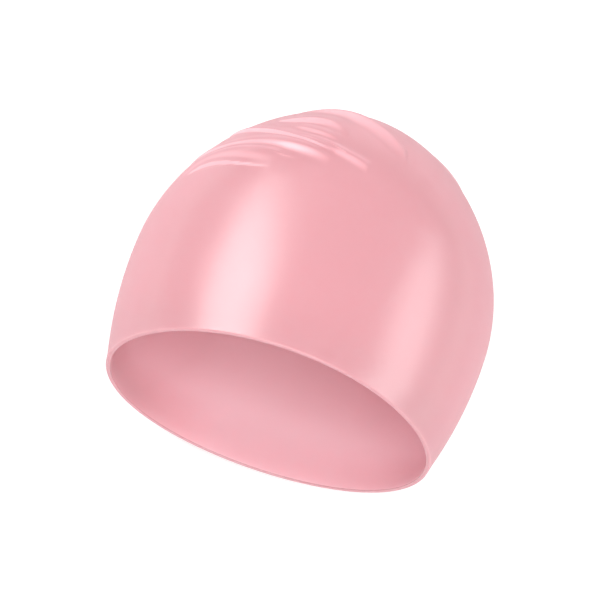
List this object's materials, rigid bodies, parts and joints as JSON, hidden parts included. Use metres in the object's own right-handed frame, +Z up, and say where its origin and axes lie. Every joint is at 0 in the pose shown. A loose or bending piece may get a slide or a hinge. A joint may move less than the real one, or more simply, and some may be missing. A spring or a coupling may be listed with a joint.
{
  "type": "swim cap",
  "caption": "Domed silicone swim cap with one thin moulded wall, a thicker band round the open rim and soft folds near the crown, lying on its side.",
  "frame": {"origin": "middle of the cap's bounding box in X and Y, on the surface that the cap lies on", "axes": "+X towards the back of the head (the forehead is at -X), +Y from the open rim to the crown, +Z up, away from the side that the cap lies on"},
  "size_m": [0.1544, 0.1428, 0.1297],
  "materials": {
    "pink_silicone": "satin"
  },
  "bodies": {
    "root": {"cap_shell": "pink_silicone"}
  },
  "joints": []
}
